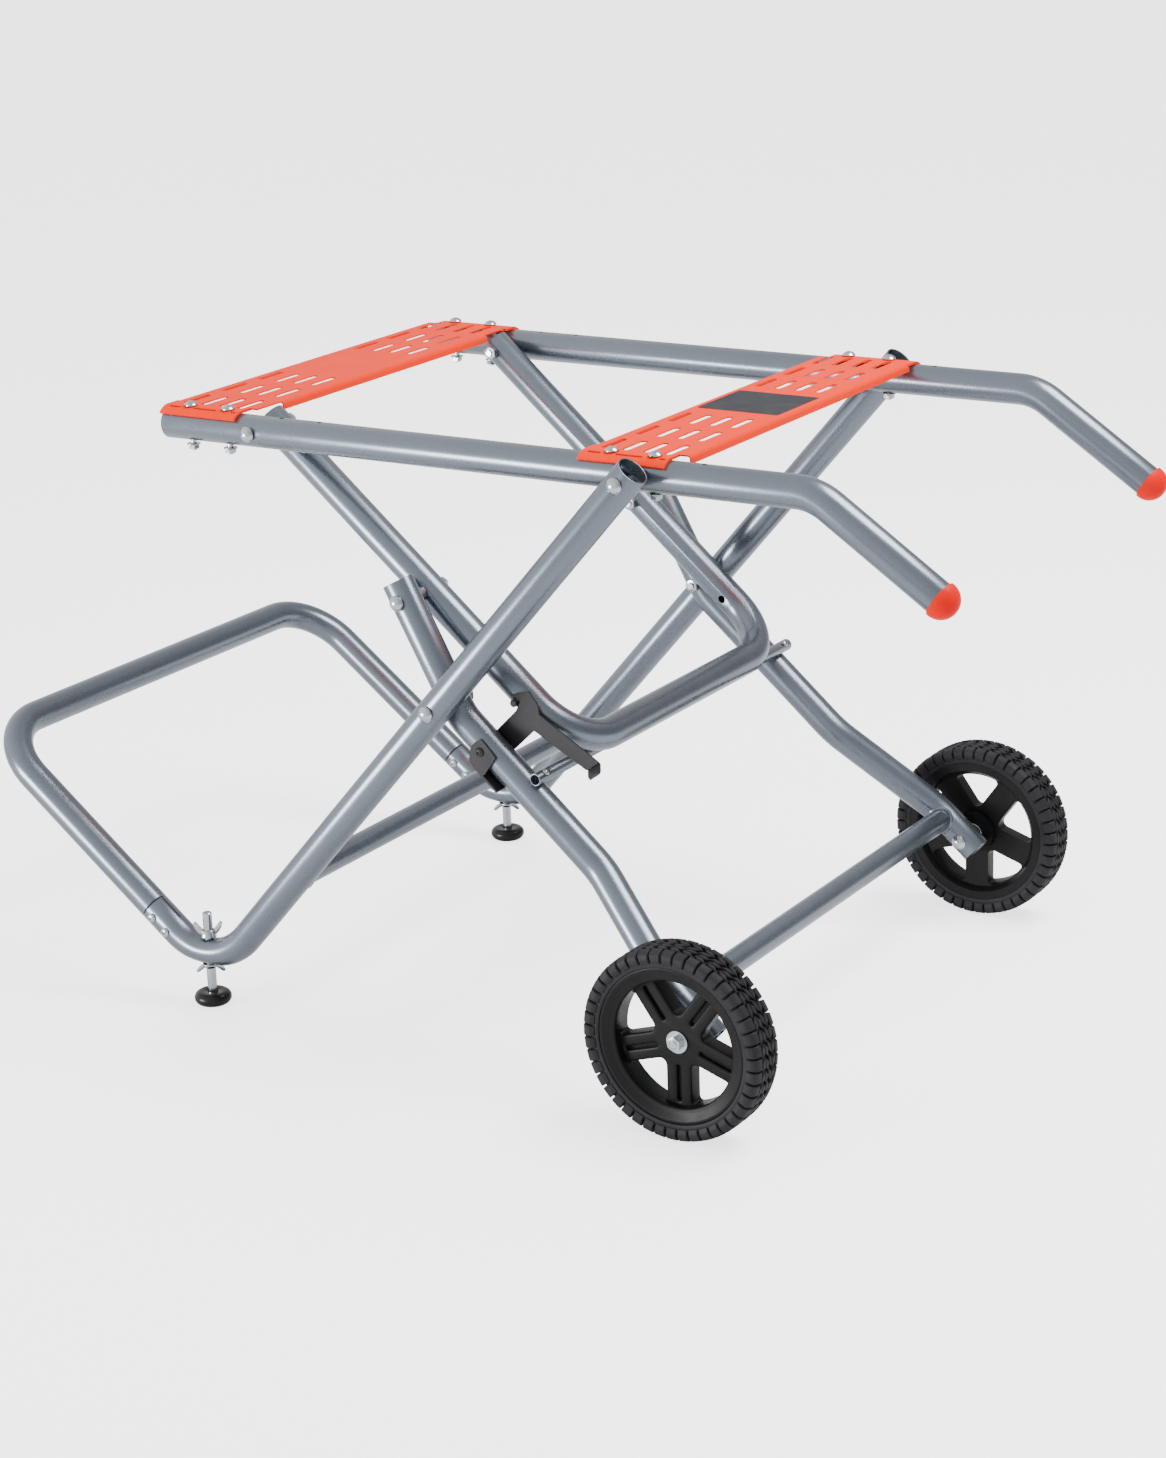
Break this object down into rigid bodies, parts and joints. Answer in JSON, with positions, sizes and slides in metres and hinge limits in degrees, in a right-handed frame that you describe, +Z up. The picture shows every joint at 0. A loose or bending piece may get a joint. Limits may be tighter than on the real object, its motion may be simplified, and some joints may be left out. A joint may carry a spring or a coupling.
{
  "type": "folding miter saw stand",
  "caption": "Folding wheeled stand for a miter saw: steel tube rails and legs on scissor pivots, slotted bolt-on plates, bent carry handles, rubber levelling feet and a foot latch.",
  "frame": {"origin": "on the floor under the middle of the stand: halfway along its overall length, on the mid plane", "axes": "+X along the top rails towards the carry handles, +Y across the stand to its right side, +Z up"},
  "size_m": [1.1363, 0.699, 0.6344],
  "materials": {
    "tube_paint": "satin blue-grey metallic powder coat",
    "plate_paint": "satin coral-orange powder coat",
    "cap_plastic": "moulded red plastic",
    "zinc": "zinc-plated steel",
    "latch_steel": "black coated sheet steel",
    "pad_rubber": "matt black rubber",
    "tyre": "matt black moulded tyre",
    "wheel_plastic": "black moulded plastic"
  },
  "bodies": {
    "leg_frame": {"left_leg": "tube_paint", "right_leg": "tube_paint", "base_loop": "tube_paint", "leg_cross_tube": "tube_paint", "left_seam_screw_1": "zinc", "left_seam_screw_2": "zinc", "right_seam_screw_1": "zinc", "right_seam_screw_2": "zinc", "left_rail_pivot_bolt": "zinc", "right_rail_pivot_bolt": "zinc", "left_main_pivot_bolt": "zinc", "right_main_pivot_bolt": "zinc"},
    "top_frame": {"left_rail": "tube_paint", "right_rail": "tube_paint", "left_grip_cap": "cap_plastic", "right_grip_cap": "cap_plastic", "loop_end_plate": "plate_paint", "handle_end_plate": "plate_paint", "loop_end_bolt_left_1": "zinc", "loop_end_bolt_left_2": "zinc", "loop_end_bolt_right_1": "zinc", "loop_end_bolt_right_2": "zinc", "handle_end_bolt_left_1": "zinc", "handle_end_bolt_left_2": "zinc", "handle_end_bolt_right_1": "zinc", "handle_end_bolt_right_2": "zinc", "left_brace_pivot_bolt": "zinc", "right_brace_pivot_bolt": "zinc"},
    "brace": {"u_brace": "tube_paint", "latch_pin": "latch_steel", "left_loose_pivot_nut": "zinc", "right_loose_pivot_nut": "zinc"},
    "wheel_frame": {"left_wheel_leg": "tube_paint", "right_wheel_leg": "tube_paint", "wheel_cross_tube": "tube_paint", "stop_rod": "tube_paint", "left_rod_screw": "zinc", "right_rod_screw": "zinc", "left_loose_pivot_head": "zinc", "right_loose_pivot_head": "zinc", "latch_pivot_bolt": "latch_steel", "left_axle_bolt": "zinc", "right_axle_bolt": "zinc", "left_axle_nut": "zinc", "right_axle_nut": "zinc"},
    "latch": {"latch_lever": "latch_steel"},
    "left_wheel": {"left_wheel_rim": "wheel_plastic", "left_tyre": "tyre"},
    "right_wheel": {"right_wheel_rim": "wheel_plastic", "right_tyre": "tyre"},
    "left_foot": {"left_foot_stud": "zinc", "left_foot_pad": "pad_rubber"},
    "right_foot": {"right_foot_stud": "zinc", "right_foot_pad": "pad_rubber"},
    "left_upper_wing": {"left_upper_wing_nut": "zinc"},
    "left_lower_wing": {"left_lower_wing_nut": "zinc"},
    "right_upper_wing": {"right_upper_wing_nut": "zinc"},
    "right_lower_wing": {"right_lower_wing_nut": "zinc"}
  },
  "joints": [
    {"name": "fold", "type": "hinge", "parent": "leg_frame", "child": "wheel_frame", "pos_m": [0.02648, 0, 0.36282], "axis": [0, 1, 0], "range_deg": [0, 58]},
    {"name": "top_fold", "type": "hinge", "parent": "leg_frame", "child": "top_frame", "pos_m": [0.24621, 0, 0.6105], "axis": [0, 1, 0], "range_deg": [-30.75, 0]},
    {"name": "brace_fold", "type": "hinge", "parent": "top_frame", "child": "brace", "pos_m": [-0.20059, 0, 0.6105], "axis": [0, 1, 0], "range_deg": [-29.23, 0]},
    {"name": "latch_turn", "type": "hinge", "parent": "wheel_frame", "child": "latch", "pos_m": [0.06575, 0, 0.3208], "axis": [0, 1, 0], "range_deg": [0, 15], "stiffness_Nm_per_rad": 0.4, "springref_deg": -20.05},
    {"name": "left_wheel_turn", "type": "hinge", "parent": "wheel_frame", "child": "left_wheel", "pos_m": [0.32508, -0.327, 0.096], "axis": [0, 1, 0], "continuous": true},
    {"name": "right_wheel_turn", "type": "hinge", "parent": "wheel_frame", "child": "right_wheel", "pos_m": [0.32508, 0.327, 0.096], "axis": [0, 1, 0], "continuous": true},
    {"name": "left_foot_height", "type": "slide", "parent": "leg_frame", "child": "left_foot", "axis": [0, 0, 1], "range_m": [-0.015, 0.012]},
    {"name": "left_upper_wing_turn", "type": "hinge", "parent": "leg_frame", "child": "left_upper_wing", "pos_m": [-0.27411, -0.28128, 0.07372], "axis": [0, 0, 1], "continuous": true},
    {"name": "left_lower_wing_turn", "type": "hinge", "parent": "leg_frame", "child": "left_lower_wing", "pos_m": [-0.27411, -0.28128, 0.04415], "axis": [0, 0, 1], "continuous": true},
    {"name": "right_foot_height", "type": "slide", "parent": "leg_frame", "child": "right_foot", "axis": [0, 0, 1], "range_m": [-0.015, 0.012]},
    {"name": "right_upper_wing_turn", "type": "hinge", "parent": "leg_frame", "child": "right_upper_wing", "pos_m": [-0.27411, 0.28128, 0.07372], "axis": [0, 0, 1], "continuous": true},
    {"name": "right_lower_wing_turn", "type": "hinge", "parent": "leg_frame", "child": "right_lower_wing", "pos_m": [-0.27411, 0.28128, 0.04415], "axis": [0, 0, 1], "continuous": true}
  ],
  "couplings": [
    {"joint": "top_fold", "follows": "fold", "ratio": -0.53007},
    {"joint": "brace_fold", "follows": "fold", "ratio": -0.50384}
  ]
}
